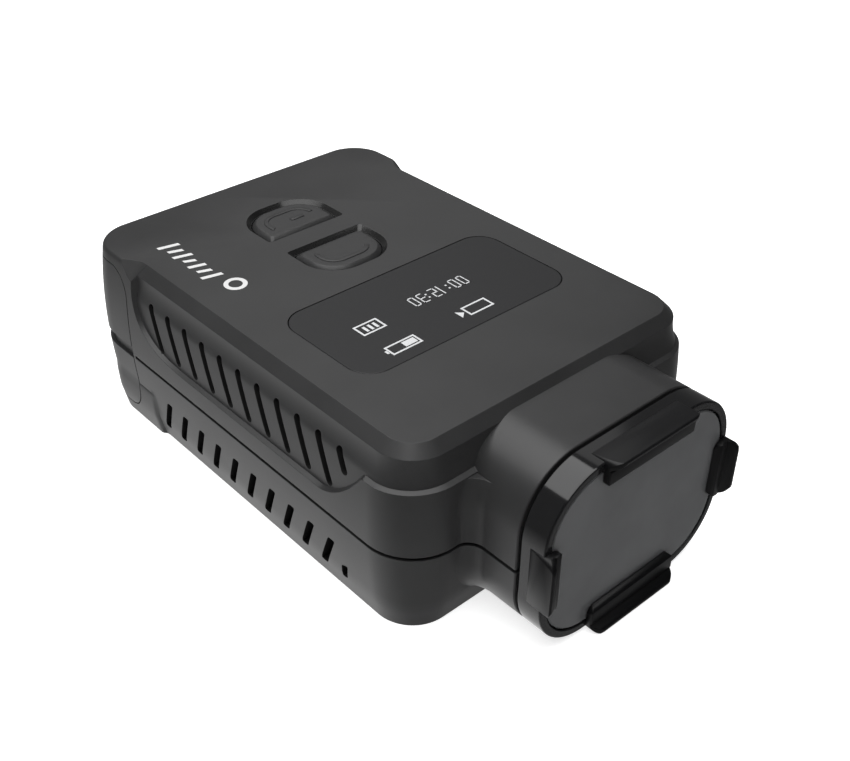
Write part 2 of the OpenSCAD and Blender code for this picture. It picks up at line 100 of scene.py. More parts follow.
def grid_solid(name, rows, capped=True):
    """Closed solid from rows of points that each go once round it.
    Without caps the last row meets the first."""
    n, m = len(rows), len(rows[0])
    verts = [p for row in rows for p in row]
    faces = []
    for i in range(n - 1 if capped else n):
        a, b = i * m, ((i + 1) % n) * m
        faces += [(a + j, a + (j + 1) % m, b + (j + 1) % m, b + j) for j in range(m)]
    if capped:
        faces += [tuple(range(m))[::-1], tuple(range((n - 1) * m, n * m))]
    return clean(mesh_object(name, verts, faces))


def apply_modifiers(obj):
    graph = bpy.context.evaluated_depsgraph_get()
    mesh = bpy.data.meshes.new_from_object(obj.evaluated_get(graph))
    obj.modifiers.clear()
    obj.data = mesh
    return obj


def combine(obj, others, operation="DIFFERENCE"):
    for other in others:
        m = obj.modifiers.new("combine", "BOOLEAN")
        m.operation = operation
        m.solver = "MANIFOLD"
        m.object = other
    apply_modifiers(obj)
    for other in others:
        bpy.data.objects.remove(other)
    return obj


def bevelled(obj, width, segments=2, angle=30):
    m = obj.modifiers.new("bevel", "BEVEL")
    m.width = width
    m.segments = segments
    m.limit_method = "ANGLE"
    m.angle_limit = math.radians(angle)
    m.use_clamp_overlap = True
    return apply_modifiers(obj)


def paint_vent_shade(obj, material, z0, z1):
    """Painted shade: the walls of the side openings, between the cavity and the outside, get a near-black
    material.
    """
    obj.data.materials.append(material)
    for face in obj.data.polygons:
        x, y, z = face.center / MM
        in_wall = CAVITY_HALF - 0.2 < abs(x) < HALF_W - 0.25 and abs(face.normal.x) < 0.3
        if in_wall and z0 < z < z1 and TOP_FRONT + 4 < y < TOP_FRONT + 39.2:
            face.material_index = 1


def finish_piece(obj, name, body, material, replaces=(), sharp=28):
    """Turns a solid in millimetres into a named piece in metres; edges over `sharp` degrees stay crisp."""
    obj.data.transform(Matrix.Scale(MM, 4))
    obj.name = name
    obj.data.name = name
    obj.data.shade_smooth()
    obj.data.set_sharp_from_angle(angle=math.radians(sharp))
    obj.data.materials.clear()
    obj.data.materials.append(material)
    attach(obj, body)
    if replaces:
        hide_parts(*replaces)
    return obj


# ---------- outlines: lists of 2D points ----------

def arc(cx, cy, r, a0, a1, n):
    a = np.radians(np.linspace(a0, a1, n))
    return [(cx + r * math.cos(t), cy + r * math.sin(t)) for t in a]


def round_rect(x0, y0, x1, y1, r, n=16):
    return (arc(x1 - r, y0 + r, r, -90, 0, n) + arc(x1 - r, y1 - r, r, 0, 90, n)
            + arc(x0 + r, y1 - r, r, 90, 180, n) + arc(x0 + r, y0 + r, r, 180, 270, n))


def capsule(p, q, r, n=10):
    a = math.degrees(math.atan2(q[1] - p[1], q[0] - p[0]))
    return arc(q[0], q[1], r, a - 90, a + 90, n) + arc(p[0], p[1], r, a + 90, a + 270, n)


def stroke(points, w):
    """Outline of a line of width w through the points."""
    p = np.array(points, float)
    d = np.gradient(p, axis=0)
    d /= np.linalg.norm(d, axis=1)[:, None]
    n = np.stack([-d[:, 1], d[:, 0]], 1) * w / 2
    return [tuple(v) for v in np.concatenate([p - n, (p + n)[::-1]])]


def prism_z(name, outline, z0, z1):
    return grid_solid(name, [[(x, y, z) for x, y in outline] for z in (z0, z1)])


def prism_y(name, outline, y0, y1):
    return grid_solid(name, [[(x, y, z) for x, z in outline] for y in (y0, y1)])


def prism_x(name, outline, x0, x1):
    return grid_solid(name, [[(x, y, z) for y, z in outline] for x in (x0, x1)])


def block(name, lo, hi):
    return prism_z(name, [(lo[0], lo[1]), (hi[0], lo[1]), (hi[0], hi[1]), (lo[0], hi[1])], lo[2], hi[2])


def snout_rect(grow, n=20):
    return round_rect(-SNOUT_HALF_W - grow, SNOUT_MID - SNOUT_HALF_H - grow,
                      SNOUT_HALF_W + grow, SNOUT_MID + SNOUT_HALF_H + grow, SNOUT_R + grow, n)


# ---------- shape of the case ----------

SIDE_GAP, REAR_GAP = 0.03, 0.02   # how far the looks stay inside the CAD's side and rear
FRONT_R, REAR_R = 5.3, 5          # corner radii of the case in plan
TAPER = 0.007                     # share of its width that the case loses from front to rear
WIDEST = HEIGHT - 10              # level where the case is widest
TOP_LEAN = 0.66                   # how far the wall comes in above it,
LOW_LEAN = 0.52                   # below it, down to the crease,
FOOT_LEAN = 0.6                   # and from the crease to the bottom
TOP_SPAN, LOW_SPAN = 9, 7.6       # heights over which the first two build up
CREASE = 2.6
EDGE_RUN, EDGE_INSET = 0.5, 0.32  # rounding along the top edge
EDGE_DEPTHS = (0.4, 0.3, 0.22, 0.15, 0.09, 0.04, 0.0)
CHAMFER = 1.05
TOP_HALF_W, TOP_R = 18.25, 3.95   # core's outline just under the chamfer
FOOT_HALF_W, FOOT_R = 18.65, 4.35 # and where the front ledge meets it
FOOT_FRONT = TOP_FRONT - 1.85
BLOCK_TOP = 5.5                   # below this the case is wider at the rear
BLOCK_Y = TOP_FRONT + 38.9
BLOCK_STEP, BLOCK_RUN = 0.5, 0.7  # by how much, and over what length
RECESS_DEPTH = 0.45
RECESS_FLARE = 2.6                # height over which the recess reaches its depth
LEDGE_X = 19.03                   # where the ledge meets the wall of the recess
LEDGE_SLOPE = 0.5
LEDGE_SIDE = HEIGHT - 8.5         # lower edge of the recess along the sides
LEDGE_FRONT = HEIGHT - 4.1        # and round the front
SWOOP_Y = TOP_FRONT + 31          # where the lower edge starts its rise at the rear
SWOOP_A = 10.4
SQUARENESS = 0.667                # below 1 the swoop is squarer than an ellipse
RISE_Y = TOP_FRONT + 9.8          # where it starts its rise at the front
RISE_RUN = 6.6
CUT_IN, CUT_OUT = 17.0, 22.0      # x range of the side cuts that make the recess
CUT_FRONT = TOP_FRONT + 2.0       # where they end at the front
CUT_TOP = HEIGHT + 3
FADE_X, FADE_WIDTH = 17.12, 1.3   # 45 degree cut whose plane moves outwards past the swoop
FADE_FROM, FADE_RUN = 41.2, 2.6   # measured back from the front edge of the top face


def barrel(z):
    """How far the wall lies inside its widest level."""
    d = z - WIDEST
    if d >= 0:
        t = max(0.0, z - HEIGHT + EDGE_RUN) / EDGE_RUN
        edge = EDGE_INSET * (1 - math.sqrt(max(0.0, 1 - t ** 2)))
        return TOP_LEAN * (d / TOP_SPAN) ** 2.2 + edge
    if z > CREASE:
        return LOW_LEAN * (-d / LOW_SPAN) ** 1.7
    return LOW_LEAN + FOOT_LEAN * (CREASE - z) / CREASE


def half_outline(w, y0, y1, r0, r1):
    """Plan outline at x >= 0, from the middle of the front to the middle of the rear."""
    points = [(x, y0) for x in np.linspace(0, w - r0, 12)]
    points += arc(w - r0, y0 + r0, r0, -90, 0, 22)[1:]
    points += [(w, y0 + r0 + t * (y1 - r1 - y0 - r0)) for t in SIDE_T]
    points += arc(w - r1, y1 - r1, r1, 0, 90, 22)
    points += [(x, y1) for x in np.linspace(w - r1, 0, 12)][1:]
    return np.array([(x * (1 - TAPER * (y - y0) / (y1 - y0)), y) for x, y in points])


# places along the sides, closest together at the swoop
SIDE_FROM, SIDE_TO = BAND_FRONT + FRONT_R, REAR - REAR_R
side_y = np.concatenate([
    np.linspace(SIDE_FROM, RISE_Y, 22)[1:-1],
    np.linspace(RISE_Y, SWOOP_Y, 22)[:-1],
    SWOOP_Y + SWOOP_A * np.sin(np.radians(np.arange(0, 91, 3.0))),
    np.linspace(SWOOP_Y + SWOOP_A, SWOOP_Y + SWOOP_A + 0.9, 7)[1:],
    np.linspace(SWOOP_Y + SWOOP_A + 0.9, SIDE_TO, 6)[1:-1]])
SIDE_T = (side_y - SIDE_FROM) / (SIDE_TO - SIDE_FROM)


def hull_half(z):
    """Plan outline of the whole case at a height, with the wider block low down at the rear."""
    b = barrel(z)
    outline = half_outline(HALF_W - SIDE_GAP - b, BAND_FRONT + b, REAR - REAR_GAP - b,
                           FRONT_R - b, REAR_R - b)
    wide = BLOCK_STEP * max(0.0, 1 - z / BLOCK_TOP) ** 0.6
    t = np.clip((outline[:, 1] - BLOCK_Y) / BLOCK_RUN, 0, 1)
    outline[:, 0] += wide * t * t * (3 - 2 * t) * (outline[:, 0] / HALF_W) ** 3
    return outline


def core_half(z):
    """The narrower outline above the recess, with the chamfer round the top face."""
    d = HEIGHT - CHAMFER - z
    b = barrel(z)
    side, front = TOP_HALF_W, TOP_FRONT - CHAMFER
    if d > 0:
        t = min(1.0, d / RECESS_FLARE) ** 1.5
        side += (HALF_W - SIDE_GAP - b - RECESS_DEPTH - side) * t
        front += (BAND_FRONT + b + RECESS_DEPTH - front) * t
    else:
        side, front = side + d, front - d
    return half_outline(side, front, REAR - REAR_GAP - b, TOP_R + side - TOP_HALF_W, REAR_R - b)


def ledge_line():
    """Outer edge of the ledge in side view, from the top at the rear to the front."""
    drop = HEIGHT - LEDGE_SIDE
    line = [(SWOOP_Y + SWOOP_A, CUT_TOP), (SWOOP_Y + SWOOP_A, HEIGHT + 1)]
    for a in np.radians(np.linspace(90, 0, 40)):
        line.append((SWOOP_Y + SWOOP_A * math.sin(a) ** SQUARENESS,
                     HEIGHT - drop * math.cos(a) ** SQUARENESS))
    for t in np.linspace(0, 1, 25):
        f = min(1.0, 1.24 * t * t + 0.05 * math.sin(math.pi * t))
        line.append((RISE_Y - RISE_RUN * t, LEDGE_SIDE + (LEDGE_FRONT - LEDGE_SIDE) * f))
    return np.array(line + [(CUT_FRONT, LEDGE_FRONT)])


def recess_cut():
    """Everything beside and in front of the core that lies above the ledge, with the ledge's slope:
    two side cuts, the front cut, and two that fade the chamfer out behind the swoop."""
    line = ledge_line()
    along = np.gradient(line, axis=0)
    along /= np.linalg.norm(along, axis=1)[:, None]
    out = np.stack([-along[:, 1], along[:, 0]], axis=1)
    cuts = []
    for s in (-1, 1):
        rows = []
        for x in (CUT_IN, CUT_OUT):
            grown = line + out * (x - LEDGE_X) * LEDGE_SLOPE
            outline = [tuple(p) for p in grown] + [(CUT_FRONT, CUT_TOP)]
            rows.append([(s * x, y, z) for y, z in outline])
        cuts.append(grid_solid("recess", rows))
    rows = []
    for grow, z in ((-1.0, LEDGE_FRONT), (0.0, LEDGE_FRONT), (2.6, LEDGE_FRONT), (2.6, CUT_TOP)):
        drop = LEDGE_SLOPE * (FOOT_HALF_W + grow - LEDGE_X) if z < HEIGHT else 0.0
        ring = half_outline(FOOT_HALF_W + grow, FOOT_FRONT - grow, REAR, FOOT_R + grow, REAR_R)
        rows.append(mirrored([(x, y, z - drop) for x, y in ring]))
    front = grid_solid("recess_front", rows)
    keep = block("keep", (-FAR, BAND_FRONT - 9, 0), (FAR, TOP_FRONT + 2.4, HEIGHT + 9))
    cuts.append(combine(front, [keep], "INTERSECT"))
    for s in (-1, 1):
        rows = []
        for y in np.linspace(TOP_FRONT + 40, TOP_FRONT + 46, 16):
            t = min(max((y - TOP_FRONT - FADE_FROM) / FADE_RUN, 0.0), 1.0)
            x = FADE_X + FADE_WIDTH * t * t * (3 - 2 * t)
            wedge = ((x - 1, HEIGHT + 1), (x + 4, HEIGHT - 4), (x + 4, HEIGHT + 1))
            rows.append([(s * px, y, pz) for px, pz in wedge])
        cuts.append(grid_solid("fade", rows))
    return cuts


def mirrored(half):
    """Whole ring from a half outline: the other half follows in reverse order."""
    return [tuple(p) for p in half] + [(-p[0], *p[1:]) for p in half[-2:0:-1]]


def hull_solid(name, levels):
    return grid_solid(name, [mirrored([(x, y, z) for x, y in hull_half(z)]) for z in levels])


def upper_case():
    levels = list(np.linspace(SEAM, HEIGHT - EDGE_RUN, 30)) + [HEIGHT - k for k in EDGE_DEPTHS]
    hull = hull_solid("upper", levels)
    levels = list(np.linspace(SEAM - 1, HEIGHT - CHAMFER, 40)) + [HEIGHT, HEIGHT + 1]
    core = grid_solid("core", [mirrored([(x, y, z) for x, y in core_half(min(z, HEIGHT))]) for z in levels])
    left, right, front, *fades = recess_cut()
    cut = combine(left, [right, front], "UNION")
    return combine(hull, [combine(cut, [core])] + fades)


def lower_case():
    levels = [0.0, 0.35, 0.9, 1.7, CREASE, 3.6, 4.4, 4.9, 5.2, 5.4, BLOCK_TOP, 6.2, 7.2, 8.3, SEAM]
    return hull_solid("lower", levels)


SNOUT_EDGE = ((0.0, 0.12), (0.06, 0.04), (0.14, 0.0))     # distance back and inset at the front edge
NO_FILLET = 0.001


def snout(z0, z1, fillet):
    """Stretch of the snout between two heights, with a hollow fillet against the case's front wall."""
    start = BAND_FRONT - fillet
    stations = [(SNOUT_FRONT + back, inset) for back, inset in SNOUT_EDGE]
    stations += [(y, 0.0) for y in np.linspace(SNOUT_FRONT + 0.5, start, 4)]
    stations += [(y, 0.0) for y in start + fillet * np.sin(np.radians(np.linspace(8, 88, 10)))]
    stations.append((BAND_FRONT + 3.6, 0.0))
    rows = []
    for y, inset in stations:
        d = min(max(y - start, 0.0), fillet)
        flare = fillet - math.sqrt(fillet ** 2 - d * d)
        lean = (d / fillet) ** 2
        rows.append([(x + (gx - x) * abs(gx - x) * flare, y + lean * barrel(z), z)
                     for (x, z), (gx, _) in zip(snout_rect(-inset, 24), snout_rect(1 - inset, 24))])
    solid = grid_solid("snout", rows)
    return combine(solid, [block("half", (-FAR, SNOUT_FRONT - 2, z0), (FAR, REAR, z1))], "INTERSECT")


def snout_bore():
    return prism_y("bore", snout_rect(-SNOUT_WALL), SNOUT_FRONT - 1, BAND_FRONT + 5)


def cavity(z0, z1):
    front, back = BAND_FRONT + 4.1, REAR - 4.75
    return prism_z("cavity", round_rect(-CAVITY_HALF, front, CAVITY_HALF, back, 2.6), z0, z1)


# ---------- what is cut into the case ----------

SLOTS = 10                        # on each side, and one shorter one in front of them
SLOT_PITCH, VENT_PITCH = 3.08, 3.05
SLOT_R = 0.42
VENT_W, VENT_LEAN = 0.98, 1.85
VENT_TOP, VENT_LOW = HEIGHT - 14.15, HEIGHT - 18.35
SEAM_GAP, SEAM_INSET = 0.4, 0.7


def through_wall(name, outline, s):
    """Prism through the side wall, on the side that s gives."""
    return prism_x(name, outline, s * (CAVITY_HALF - 0.6), s * 24)


def upper_slots():
    cuts = []
    for i in range(SLOTS + 1):
        y, bottom, run = TOP_FRONT + 38.16 - SLOT_PITCH * i, HEIGHT - 7.62, 1.75
        if i == SLOTS:
            y, bottom, run = TOP_FRONT + 7.45, HEIGHT - 5.2, 0.8
        line = capsule((y, HEIGHT - 3.5), (y - run, bottom), SLOT_R)
        cuts += [through_wall("slot", line, s) for s in (-1, 1)]
    return cuts


def lower_vents():
    cuts = []
    for i in range(SLOTS + 1):
        y, z1, z0 = TOP_FRONT + 35.4 - VENT_PITCH * i, VENT_TOP, VENT_LOW
        line = [(y, z1), (y + VENT_W, z1), (y + VENT_W + VENT_LEAN, z0), (y + VENT_LEAN, z0)]
        if i == SLOTS:
            y = TOP_FRONT + 6.4
            line = [(y, z0 + 2.1), (y + 0.95, z0 + 1.7), (y + 1.15, z0), (y + 0.35, z0 + 0.2)]
        cuts += [bevelled(through_wall("vent", line, s), 0.3, 3, 20) for s in (-1, 1)]
    return cuts


COVER_LO, COVER_HI = node_box("rear_cover")
COVER_T = 1.4
COVER_R = 3.0
COVER_GAP = 0.14                  # round the cover, and 0.15 behind it


def cover_outline(grow):
    """The cover in side view, open to the rear."""
    y0, z0, z1, r = COVER_LO[1] - grow, COVER_LO[2] - grow, COVER_HI[2] + grow, COVER_R + grow
    return ([(REAR + 8, z0), (REAR + 8, z1)] + arc(y0 + r, z1 - r, r, 90, 180, 14)
            + arc(y0 + r, z0 + r, r, 180, 270, 14))


def cover_core(t):
    """What lies inside a cover of thickness t."""
    outline = round_rect(-HALF_W + t + 0.6, COVER_LO[1] - 4, HALF_W - t - 0.6, REAR - t, REAR_R - t)
    return prism_z("core", outline, -1, HEIGHT + 1)


def cover_pocket():
    return combine(prism_x("pocket", cover_outline(COVER_GAP), -FAR, FAR), [cover_core(COVER_T + 0.15)])


def seam_groove():
    """Ring outside the case that sets the seam back a little between its halves."""
    z0, z1 = SEAM - SEAM_GAP / 2, SEAM + SEAM_GAP / 2
    ring = block("groove", (-FAR, SNOUT_FRONT - 3, z0), (FAR, COVER_LO[1] - 0.5, z1))
    inner = [(x * (1 - SEAM_INSET / HALF_W), y) for x, y in mirrored(hull_half(SEAM))]
    inner = [(x, y + SEAM_INSET if y < 0 else y + 3) for x, y in inner]
    half = SNOUT_HALF_W - SEAM_INSET
    keep = block("keep", (-half, SNOUT_FRONT - 4, z0 - 1), (half, 0, z1 + 1))
    return combine(ring, [prism_z("inner", inner, z0 - 1, z1 + 1), keep])


BAR_Y = TOP_FRONT + 34.6
BAR_HALF = 1.42                   # half the width of the bar between the buttons
BUTTON_HALF_W = 4.95
BUTTON_DEPTH = 7.0
BUTTON_R, BUTTON_CORNER = 3.9, 0.35


def d_outline(inset, n=14):
    """D with its straight side at y = 0, pulled in by inset."""
    x, y1, r, c = BUTTON_HALF_W - inset, BUTTON_DEPTH - inset, BUTTON_R - inset, BUTTON_CORNER
    return (arc(-x + c, inset + c, c, 180, 270, 5) + arc(x - c, inset + c, c, 270, 360, 5)
            + arc(x - r, y1 - r, r, 0, 90, n) + arc(-x + r, y1 - r, r, 90, 180, n))


def placed(outline, side):
    """The D outline on the top face: side 1 is the rear button, -1 the front one."""
    return [(side * x, BAR_Y + side * (BAR_HALF + y)) for x, y in outline]


def button_hole(side):
    rows = [(0.5, CEILING - 2), (0.5, HEIGHT - 0.5), (-0.02, HEIGHT + 0.02), (-0.02, HEIGHT + 1)]
    return grid_solid("hole", [[(x, y, z) for x, y in placed(d_outline(i), side)] for i, z in rows])


WINDOW_LO, WINDOW_HI = node_box("display_window")
WINDOW_R = 2.6
PORT_GAP = 0.12


def window_outline(grow):
    return round_rect(WINDOW_LO[0] - grow, WINDOW_LO[1] - grow,
                      WINDOW_HI[0] + grow, WINDOW_HI[1] + grow, WINDOW_R + grow, 14)


def port_cuts():
    usb_lo, usb_hi = node_box("usb_port")
    card_lo, card_hi = node_box("memory_card")
    outline = round_rect(usb_lo[0] - PORT_GAP, usb_lo[2] - PORT_GAP,
                         usb_hi[0] + PORT_GAP, usb_hi[2] + PORT_GAP, 1.6)
    card = block("card", (card_lo[0] - PORT_GAP, REAR - 6, card_lo[2] - PORT_GAP),
                 (card_hi[0] + PORT_GAP, REAR + 3, card_hi[2] + PORT_GAP))
    return [prism_y("usb", outline, REAR - 6, REAR + 3), card]


def upper_housing():
    snouts = [snout(SEAM, HEIGHT + 1, NO_FILLET), snout(SEAM, LEDGE_FRONT - 0.02, FILLET)]
    body = combine(upper_case(), snouts, "UNION")
    window = prism_z("window", window_outline(0.07), HEIGHT - 1.02, HEIGHT + 1)
    opening = prism_z("opening", window_outline(-2.4), CEILING - 2, HEIGHT)
    cuts = [cavity(SEAM - 1, CEILING), snout_bore(), cover_pocket(), seam_groove(), window, opening,
            button_hole(1), button_hole(-1)]
    return combine(body, cuts + upper_slots() + port_cuts())


SCREW_R = 1.5


def screw_seats():
    lo, hi = node_box("case_screws")
    seats = []
    for x in (lo[0] + SCREW_R, hi[0] - SCREW_R):
        for y in (lo[1] + SCREW_R, hi[1] - SCREW_R):
            turn = arc(x, y, SCREW_R + 0.15, 0, 352.5, 48)
            rows = [[(x + (px - x) * k, y + (py - y) * k, z) for px, py in turn]
                    for k, z in ((1.13, -0.5), (1.13, 0.0), (1.0, 0.2), (1.0, 1.6))]
            seats.append(grid_solid("seat", rows))
    return seats


INSERT_LO, INSERT_HI = node_box("tripod_insert")
INSERT_Y = (INSERT_LO[1] + INSERT_HI[1]) / 2
INSERT_R = (INSERT_HI[0] - INSERT_LO[0]) / 2


def lower_housing():
    body = combine(lower_case(), [snout(0.0, SEAM, FILLET)], "UNION")
    boss = prism_z("boss", arc(0, INSERT_Y, INSERT_R + 1.2, 0, 354, 60), 0, 6.2)
    hollow = combine(cavity(1.8, SEAM + 1), [boss])
    seat = prism_z("insert_seat", arc(0, INSERT_Y, INSERT_R + 0.02, 0, 354, 60), -1, 7)
    return combine(body, [hollow, seat, snout_bore(), cover_pocket(), seam_groove()]
                   + lower_vents() + screw_seats())


def rear_cover():
    body = hull_solid("hull", np.linspace(1.2, HEIGHT - 1.0, 26))
    body = combine(body, [prism_x("outline", cover_outline(0.0), -FAR, FAR)], "INTERSECT")
    groove = block("finger", (-FAR, COVER_LO[1] - 3, SEAM - 0.35), (FAR, REAR + 3, SEAM + 1.1))
    core = round_rect(-HALF_W + 0.5, COVER_LO[1] - 8, HALF_W - 0.5, REAR - 0.55, REAR_R)
    groove = combine(groove, [prism_z("groove_core", core, 0, HEIGHT)])
    seal_lo, seal_hi = node_box("rear_seal")
    recess = block("recess", (seal_lo[0] - 0.5, REAR - 3, seal_lo[2] - 0.4),
                   (seal_hi[0] + 0.5, REAR - COVER_T + 0.6, seal_hi[2] + 0.4))
    return combine(body, [cover_core(COVER_T), groove, recess])


# ---------- materials ----------

CLOUD_SCALE = 160                 # per metre


def shader(name, color, roughness, metallic=0.0, grain=0.0, grain_size=0.12, mottle=0.08, edge=0.1,
           **sockets):
    """Moulded or machined surface: colour and roughness vary softly, with fine grain and rounded edges.
    grain_size and edge, the radius of the rounding, are in millimetres."""
    mat = bpy.data.materials.new(name)
    mat.use_nodes = True
    nodes, links = mat.node_tree.nodes, mat.node_tree.links
    bsdf = nodes["Principled BSDF"]
    bsdf.inputs["Metallic"].default_value = metallic
    for socket, value in sockets.items():
        bsdf.inputs[socket.replace("_", " ")].default_value = value
    place = nodes.new("ShaderNodeTexCoord")
    cloud = nodes.new("ShaderNodeTexNoise")
    cloud.inputs["Scale"].default_value = CLOUD_SCALE
    cloud.inputs["Detail"].default_value = 4
    links.new(place.outputs["Object"], cloud.inputs["Vector"])
    tint = nodes.new("ShaderNodeValToRGB")
    for element, k, at in zip(tint.color_ramp.elements, (1 - mottle, 1 + mottle), (0.35, 0.65)):
        element.position = at
        element.color = [min(1.0, c * k) for c in color] + [1]
    links.new(cloud.outputs["Fac"], tint.inputs["Fac"])
    links.new(tint.outputs["Color"], bsdf.inputs["Base Color"])
    rough = nodes.new("ShaderNodeMapRange")
    rough.inputs["From Min"].default_value, rough.inputs["From Max"].default_value = 0.3, 0.7
    rough.inputs["To Min"].default_value = roughness * 0.94
    rough.inputs["To Max"].default_value = min(1.0, roughness * 1.06)
    links.new(cloud.outputs["Fac"], rough.inputs["Value"])
    links.new(rough.outputs["Result"], bsdf.inputs["Roughness"])
    normal = None
    if edge:
        soft = nodes.new("ShaderNodeBevel")
        soft.samples = 4
        soft.inputs["Radius"].default_value = edge * MM
        normal = soft.outputs["Normal"]
    if grain:
        fine = nodes.new("ShaderNodeTexNoise")
        fine.inputs["Scale"].default_value = 1 / (grain_size * MM)
        fine.inputs["Detail"].default_value = 2
        links.new(place.outputs["Object"], fine.inputs["Vector"])
        bump = nodes.new("ShaderNodeBump")
        bump.inputs["Strength"].default_value = grain
        bump.inputs["Distance"].default_value = 0.02 * MM
        links.new(fine.outputs["Fac"], bump.inputs["Height"])
        if normal:
            links.new(normal, bump.inputs["Normal"])
        normal = bump.outputs["Normal"]
    if normal:
        links.new(normal, bsdf.inputs["Normal"])
    return mat


CASE = shader("case_plastic", (0.026, 0.026, 0.0265), 0.38, grain=0.2, edge=0.06)
BUTTON = shader("button_plastic", (0.026, 0.026, 0.0265), 0.42, grain=0.15, edge=0.08)
RING = shader("button_ring", (0.012, 0.012, 0.012), 0.22, edge=0.04)
GLOSS = shader("gloss_black", (0.008, 0.008, 0.0085), 0.1, edge=0.08)
LATCH = shader("latch_black", (0.004, 0.004, 0.0045), 0.34, edge=0.08, Specular_IOR_Level=0.3)
COATED = shader("coated_glass", (0.073, 0.074, 0.076), 0.2, edge=0.08)
WINDOW = shader("window_gloss", (0.007, 0.007, 0.008), 0.5, edge=0.06)
INK = shader("white_ink", (0.78, 0.78, 0.78), 0.5, edge=0.0, mottle=0.03)
PIXELS = shader("display_white", (0.72, 0.73, 0.74), 0.4, edge=0.0, mottle=0.03)
RUBBER = shader("seal_rubber", (0.012, 0.012, 0.012), 0.8, grain=0.4, edge=0.05)
NYLON = shader("plunger_nylon", (0.75, 0.74, 0.7), 0.45, edge=0.05)
STEEL = shader("stamped_steel", (0.55, 0.55, 0.56), 0.3, 1.0, grain=0.3, edge=0.05)
SCREW = shader("black_oxide", (0.05, 0.05, 0.052), 0.4, 0.9, grain=0.3, edge=0.08)
BOARD = shader("solder_mask", (0.012, 0.09, 0.045), 0.3, mottle=0.25, edge=0.05)
CHIP = shader("chip_resin", (0.02, 0.02, 0.021), 0.55, grain=0.4, edge=0.05)
BRASS = shader("machined_brass", (0.62, 0.42, 0.17), 0.28, 1.0, grain=0.2, edge=0.08)
ALUMINIUM = shader("heat_aluminium", (0.72, 0.72, 0.74), 0.35, 1.0, grain=0.3, edge=0.08)
WRAP = shader("battery_wrap", (0.03, 0.12, 0.35), 0.3, grain=0.2, grain_size=0.8)
LENS = shader("lens_coating", (0.02, 0.012, 0.045), 0.03, edge=0.0, Coat_Weight=1.0, Coat_Roughness=0.02)
# near-black matte that paints the shade inside the side slots and vents
VENT_SHADE = shader("vent_painted_shade", (0.003, 0.003, 0.003), 0.9, edge=0.0)

NODE_MATERIALS = {
    CASE: ["front_bezel", "lens_holder"],
    GLOSS: ["lens_barrel", "oled_display"],
    RUBBER: ["protector_seal", "rear_seal", "battery_pad"],
    NYLON: ["mode_plunger", "shutter_plunger"],
    STEEL: ["mode_switch", "shutter_switch", "usb_port", "card_socket", "lens_lock_ring"],
    SCREW: ["case_screws"],
    BOARD: ["control_board", "main_board", "sensor_board"],
    CHIP: ["processor", "image_sensor", "memory_card", "speaker"],
    BRASS: ["microphone", "wifi_antenna", "tripod_insert"],
    ALUMINIUM: ["heat_spreader"],
    WRAP: ["battery"],
    LENS: ["lens_front_element"],
}
for material, names in NODE_MATERIALS.items():
    for name in names:
        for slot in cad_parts[name].material_slots:
            slot.material = material

# ---------- the pieces ----------

upper = finish_piece(upper_housing(), "upper_case", "case", CASE, ["top_housing"], 22)
# painted shade on the walls of the slots and vents, where the real walls are case plastic
paint_vent_shade(upper, VENT_SHADE, HEIGHT - 8.1, HEIGHT - 3.0)
lower = finish_piece(lower_housing(), "lower_case", "case", CASE, ["bottom_housing"], 22)
paint_vent_shade(lower, VENT_SHADE, HEIGHT - 18.4, HEIGHT - 14.1)
finish_piece(rear_cover(), "rear_cap", "rear_cover", CASE, ["rear_cover"], 22)


def button(side):
    z = HEIGHT - 0.08
    rows = [(0.0, CEILING - 0.9), (0.0, CEILING - 0.1), (0.6, CEILING - 0.1), (0.6, z - 0.46),
            (0.64, z - 0.38), (0.96, z - 0.06), (1.04, z - 0.01), (1.14, z), (1.6, z - 0.01)]
    return grid_solid("button", [[(x, y, h) for x, y in placed(d_outline(i), side)] for i, h in rows])


def button_ring(side):
    """Sloping rim round a button."""
    rows = [(0.0, HEIGHT + 0.01), (0.44, HEIGHT - 0.43), (0.44, HEIGHT - 0.6), (0.0, HEIGHT - 0.16)]
    return grid_solid("ring", [[(x, y, z) for x, y in placed(d_outline(i), side)] for i, z in rows], False)


for side, name in ((1, "mode_button"), (-1, "shutter_button")):
    finish_piece(button(side), name + "_cap", name, BUTTON, [name], 24)
    finish_piece(button_ring(side), name + "_ring", "case", RING, (), 24)

# raised marks on the buttons: an open loop with a bar, and a plain loop with a gap
MARK_Z, MARK_HEIGHT, MARK_WIDTH = HEIGHT - 0.16, 0.15, 0.52
loop = d_outline(2.15, 18)


def mark(name, points, side, body):
    outline = placed(stroke(points, MARK_WIDTH), side)
    obj = bevelled(prism_z(name, outline, MARK_Z, MARK_Z + MARK_HEIGHT), 0.06, 2, 40)
    finish_piece(obj, name, body, BUTTON, (), 50)


mark("shutter_mark", loop[6:-6], -1, "shutter_button")
mark("mode_mark", loop[10:] + loop[:3], 1, "mode_button")
mark("mode_bar", [(-0.1, 2.9), (0.8, 2.9), (1.6, 2.9)], 1, "mode_button")

# display window and what it shows
window = grid_solid("window", [[(x, y, HEIGHT + h) for x, y in window_outline(g)]
                               for g, h in ((0, -1), (0, -0.06), (-0.07, 0), (-0.5, 0))])
finish_piece(window, "status_window", "case", WINDOW, ["display_window"], 24)

SIGN_LOW, SIGN_HIGH = HEIGHT + 0.004, HEIGHT + 0.024


def sign(name, outline, material=PIXELS):
    """Thin white sign on the top face or the window."""
    finish_piece(prism_z(name, outline, SIGN_LOW, SIGN_HIGH), name, "case", material)


def reader(x, y):
    """A place on the window as read from behind the camera: x to the reader's right, y upwards."""
    return -x, TOP_FRONT - y


def rectangle(name, x0, y0, x1, y1):
    sign(name, [reader(x0, y0), reader(x1, y0), reader(x1, y1), reader(x0, y1)])


